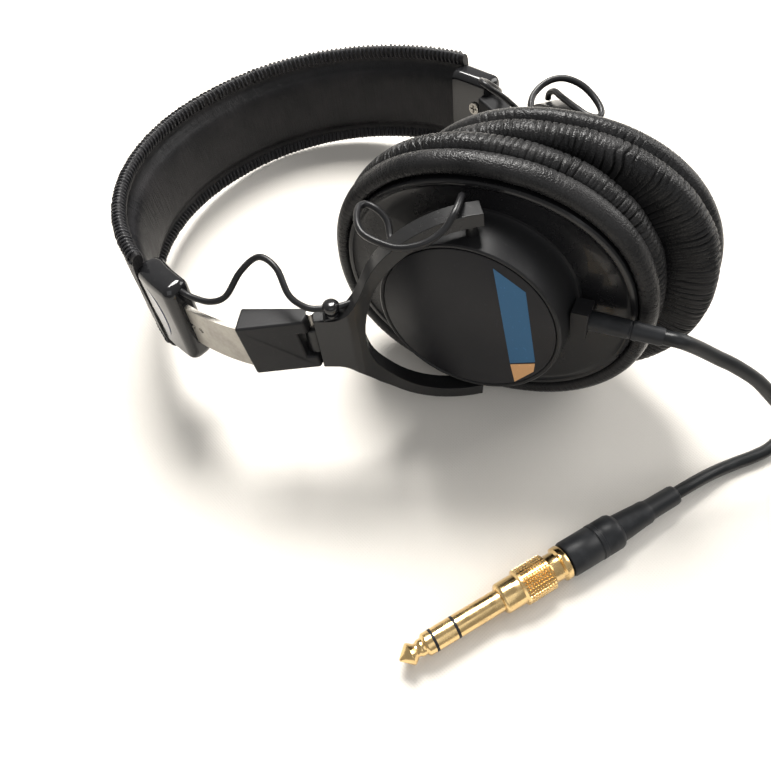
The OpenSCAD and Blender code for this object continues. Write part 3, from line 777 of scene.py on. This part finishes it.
def pad_crease(w, t, roll):
    """Depth in mm, and share of shade, of folds across the roll that wander and vary in depth."""
    ring = Vector((math.cos(w), math.sin(w), 0))
    drift = 3.2 * noise.noise(ring * 3.5 + Vector((0, 0, t * 0.5 + 4 * roll)))
    drift += 0.5 * noise.noise(ring * 16 + Vector((0, 0, t)))
    fold = abs(math.sin(GATHERS / 2 * w + drift + 0.1 * t))
    between = abs(math.sin(GATHERS * 0.87 * w - drift * 1.7 + 0.4 * t + 1.0))
    strength = 0.55 + 0.9 * noise.noise(ring * 9 + Vector((2, 0, t * 0.45 + 3 * roll)))
    sharp = max(0.0, 1 - fold * 1.7) ** 1.3
    fine = max(0.0, 1 - between * 2.2)
    broad = noise.noise(ring * 5 + Vector((0, 0, t * 0.3)))
    folded = sharp * max(0.15, strength)
    return 0.95 * folded + 0.25 * fine - 0.22 * broad, folded + 0.3 * fine


def make_pad(side):
    """Two soft rolls with a seam between them, gathered across the face roll."""
    bm = bmesh.new()
    line = curve_through([(PAD[0] - inset, y, 0) for inset, y in PAD_SECTION + PAD_SECTION[:1]], 3)[:-1]
    slope = (PAD[1] - PAD_HOLE[1]) / (PAD[0] - PAD_HOLE[0])
    oval_lathe(bm, [(q.x, q.y) for q in line], 1240, slope, PAD[1] - slope * PAD[0])
    bmesh.ops.recalc_face_normals(bm, faces=bm.faces)
    bm.normal_update()
    # This attribute holds painted shade: each crease's share of darkening for the pad leather's colour.
    layer = bm.verts.layers.float.new("fold")
    shift = {}
    for v in bm.verts:
        w = math.atan2(v.co.z / PAD[1], v.co.x / PAD[0])
        a = math.hypot(v.co.x / PAD[0], v.co.z / PAD[1])
        if v.co.y > PAD_SEAM:
            t, roll, deep = (v.co.y - 14) * 0.35 - a * 6, 1, 1.0
        else:
            t, roll, deep = v.co.y * 0.3, 0, 0.12 + 0.4 * max(0.0, (v.co.y - 10) / 4)
        if v.co.y < 14.4 and a < 0.9:
            continue
        flat = 0.75 if v.co.y > 22.3 else 1.0
        depth, folded = pad_crease(w, t, roll)
        v[layer] = folded * deep
        shift[v] = v.normal * (-depth * deep * flat)
    for v, by in shift.items():
        v.co += by
        v.co.y = min(v.co.y, PAD_FACE + 0.2)
    o = finish("pad_" + side, bm, cup_at[side], pad_leather, side + "_cup",
               ["ear_pad_" + side], crease=180)


# ---- Plug ----

plug_side = Vector((-PLUG_WAY.y, PLUG_WAY.x, 0))
plug_at = Matrix((PLUG_WAY * MM, plug_side * MM, Vector((0, 0, MM)))).transposed().to_4x4()
plug_at.translation = PLUG_TIP * MM


def make_adapter():
    """Barrel of the large plug, with a cross-cut knurl on its grip."""
    knurl_from, grip_r, pitch, cut, teeth, fine = 38.7, 5.2, 0.88, 0.34, 36, 5
    rings = 10 * fine
    line = [(1.81, 17.6), (3.175, 17.6), (3.175, 31.7), (3.75, 31.78), (4.3, 32.3), (4.4, 32.8), (4.4, 37.9),
            (4.85, 38.2), (grip_r, 38.5)]
    line += [(grip_r, knurl_from + pitch * i / fine) for i in range(rings + 1)]
    line += [(4.9, 47.8), (4.25, 48.1), (4.15, 48.5), (4.1, 51.0), (4.5, 51.3), (4.95, 51.6), (5.0, 53.1),
             (4.8, 53.4), (2.96, 53.4), (2.96, 49.8), (1.81, 49.8), (1.81, 17.6)]
    bm = bmesh.new()
    lathe(bm, line, teeth * fine, (1, 0, 0))
    for v in bm.verts:
        r = math.hypot(v.co.y, v.co.z)
        along = round((v.co.x - knurl_from) * fine / pitch)
        if r > grip_r - 0.01 and 0 < along < rings:
            across = round(math.atan2(v.co.z, v.co.y) * teeth * fine / (2 * math.pi))
            if along % fine == 0 or across % fine == 0:
                v.co.yz *= 1 - cut / grip_r
    finish("adapter_barrel", bm, plug_at, gold, "adapter", ["adapter_sleeve"], crease=40)

    bm = bmesh.new()
    tip = [(0, 0), (0.35, 0.08), (1.6, 1.45), (3.0, 3.0), (3.12, 3.35), (2.95, 3.75), (1.98, 5.0), (1.9, 5.5),
           (2.25, 6.0), (2.42, 6.5), (2.3, 7.0), (2.4, 7.4), (3.0, 7.9), (3.17, 8.2), (3.17, 10), (0, 10)]
    lathe(bm, tip, 64, (1, 0, 0))
    finish("adapter_point", bm, plug_at, gold, "adapter", ["adapter_tip"], crease=28)


def make_plug_body():
    """Moulded body with two ridges, tapering to the cord with a short ribbed sleeve."""
    line = [(0, 53.75), (4.3, 53.75), (4.9, 54.0), (5.2, 54.6), (5.2, 63.4), (5.05, 63.6), (5.05, 64.0),
            (5.3, 64.2), (5.3, 65.4), (5.05, 65.6), (5.05, 66.0), (5.25, 66.3), (5.25, 70.6), (5.0, 71.4),
            (4.2, 72.2), (0, 72.2)]
    bm = bmesh.new()
    lathe(bm, line, 96, (1, 0, 0))
    grip = finish("plug_grip", bm, plug_at, boot_rubber, "left_cup", ["plug_body"], crease=40)
    bm = bmesh.new()
    lathe(bm, [(0, 71.8), (4.15, 71.8), (3.9, 76), (3.55, 80.5), (3.5, 82.6), (3.25, 83.2), (3.05, 84),
               (2.95, 92.8), (2.75, 93.6), (2.4, 93.9), (0, 93.9)], 72, (1, 0, 0))
    tail = finish("plug_tail", bm, plug_at, boot_rubber, "left_cup", ["plug_boot"], crease=40)
    return grip, tail


def make_cord_boot():
    """The sleeve that takes the cord out of the boss."""
    bm = bmesh.new()
    line = [(0, 31), (2.65, 31), (2.7, 31.4), (2.6, 38), (2.55, 41.4), (2.35, 41.6), (2.35, 42.0),
            (2.6, 42.2), (2.6, 43.4), (2.45, 43.7), (2.35, 49.4), (2.1, 50), (0, 50)]
    lathe(bm, line, 64, (1, 0, 0), (0, 3.4, 3))
    return finish("cord_sleeve_end", bm, cup_at["left"], boot_rubber, "left_cup",
                  ["cord_boot"], crease=40)


def make_tie():
    """A woven strap round the coil's turns."""
    inner, outer, top, wide, turn = COIL_R[0] - 2.6, COIL_R[1] + 2.5, 16.3, 7.2, -35
    bm = bmesh.new()
    path = rounded_box(inner, outer, top / 2, 2.2, 5)
    geom = loop(bm, [(x, -wide / 2, z + top / 2 + 0.02) for x, z in path])
    edges = [g for g in geom if isinstance(g, bmesh.types.BMEdge)]
    swept = bmesh.ops.extrude_edge_only(bm, edges=edges)["geom"]
    bmesh.ops.translate(bm, vec=(0, wide, 0), verts=[g for g in swept if isinstance(g, bmesh.types.BMVert)])
    at = Matrix.Translation((COIL_AT[0] * MM, COIL_AT[1] * MM, 0)) @ Matrix.Scale(MM, 4)
    o = finish("coil_strap", bm, turned(at, turn), tie_cloth, "left_cup", ["coil_tie"])
    wall = o.modifiers.new("wall", "SOLIDIFY")
    wall.thickness, wall.offset = 0.9 * MM, 1.0
    return o


# ---- Carried-over parts ----

FINISH = {"spring": spring_steel, "cap_plate": satin_black, "cap_screw": steel, "arm": steel, "fold_pin": steel,
          "cup_pivots": painted, "baffle": satin_black, "driver_ring": satin_black, "driver_magnet": magnet_plate,
          "diaphragm": film, "damping_foam": foam_cloth, "cord_boss": satin_black, "small_plug": gold,
          "adapter_ring": gold, "adapter_insulators": satin_black}


def dress_frame():
    """Gives each CAD piece that shows its material."""
    for name, o in nodes.items():
        for start, material in FINISH.items():
            if name.startswith(start) and not name.startswith("arm_wire"):
                o.data.materials.clear()
                o.data.materials.append(material)


make_cover()
for side in SIDES:
    make_end_cap(side)
    make_block(side)
    make_yoke(side)
    make_wires(side)
    make_shell(side)
    make_pad(side)
make_label()
make_adapter()
grip, tail = make_plug_body()
boot = make_cord_boot()
tie = make_tie()
dress_frame()


# ---- Floor and light ----

def make_stage():
    """A pale cloth floor, a key light up to the left, and a soft white room."""
    bm = bmesh.new()
    bmesh.ops.create_grid(bm, x_segments=1, y_segments=1, size=2.5)
    mesh = bpy.data.meshes.new("floor")
    bm.to_mesh(mesh)
    bm.free()
    mesh.materials.append(floor_cloth)
    floor = bpy.data.objects.new("floor", mesh)
    bpy.context.scene.collection.objects.link(floor)
    for name, at, size, power, colour in (("key", (-0.45, 0.35, 0.80), 0.40, 19.0, (1.0, 0.98, 0.95)),
                                          ("fill", (0.7, -0.5, 0.9), 1.0, 3.0, (0.95, 0.97, 1.0)),
                                          ("rear", (0.3, 0.9, 0.6), 0.6, 7.0, (1.0, 0.98, 0.95))):
        lamp = bpy.data.lights.new(name, "AREA")
        lamp.size, lamp.energy, lamp.color = size, power, colour
        o = bpy.data.objects.new(name, lamp)
        o.location = at
        o.rotation_euler = (Vector((0.04, -0.02, 0.03)) - Vector(at)).to_track_quat("-Z", "Y").to_euler()
        bpy.context.scene.collection.objects.link(o)
    world = bpy.data.worlds.new("studio")
    world.use_nodes = True
    room = world.node_tree.nodes["Background"]
    room.inputs["Color"].default_value = (1.0, 0.99, 0.97, 1)
    room.inputs["Strength"].default_value = 0.38
    bpy.context.scene.world = world
    bpy.context.scene.view_settings.view_transform = "Standard"


make_stage()
